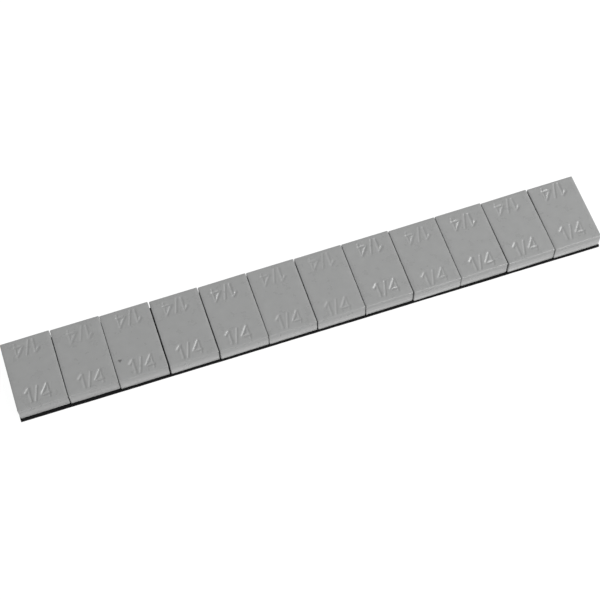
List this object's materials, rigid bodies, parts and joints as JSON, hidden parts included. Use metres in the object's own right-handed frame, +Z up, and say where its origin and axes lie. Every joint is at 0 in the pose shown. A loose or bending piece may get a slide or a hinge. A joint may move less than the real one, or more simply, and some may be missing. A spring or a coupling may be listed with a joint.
{
  "type": "adhesive wheel balance weight strip",
  "caption": "Flat strip of rectangular coated steel balance weights in a row on a black foam tape with a release liner, cut to length and stuck inside a wheel rim.",
  "frame": {"origin": "middle of the underside of the strip, on the face that goes to the wheel rim", "axes": "+X along the strip, +Y across it, +Z up from the underside through the weights"},
  "size_m": [0.1458, 0.0186, 0.0052],
  "materials": {
    "coated_steel": "matte grey coat on steel",
    "foam_tape": "matte black closed-cell foam",
    "liner_paper": "plain pale release liner"
  },
  "bodies": {
    "root": {"weight_01": "coated_steel", "weight_02": "coated_steel", "weight_03": "coated_steel", "weight_04": "coated_steel", "weight_05": "coated_steel", "weight_06": "coated_steel", "weight_07": "coated_steel", "weight_08": "coated_steel", "weight_09": "coated_steel", "weight_10": "coated_steel", "weight_11": "coated_steel", "weight_12": "coated_steel", "foam_tape": "foam_tape", "release_liner": "liner_paper"}
  },
  "joints": []
}
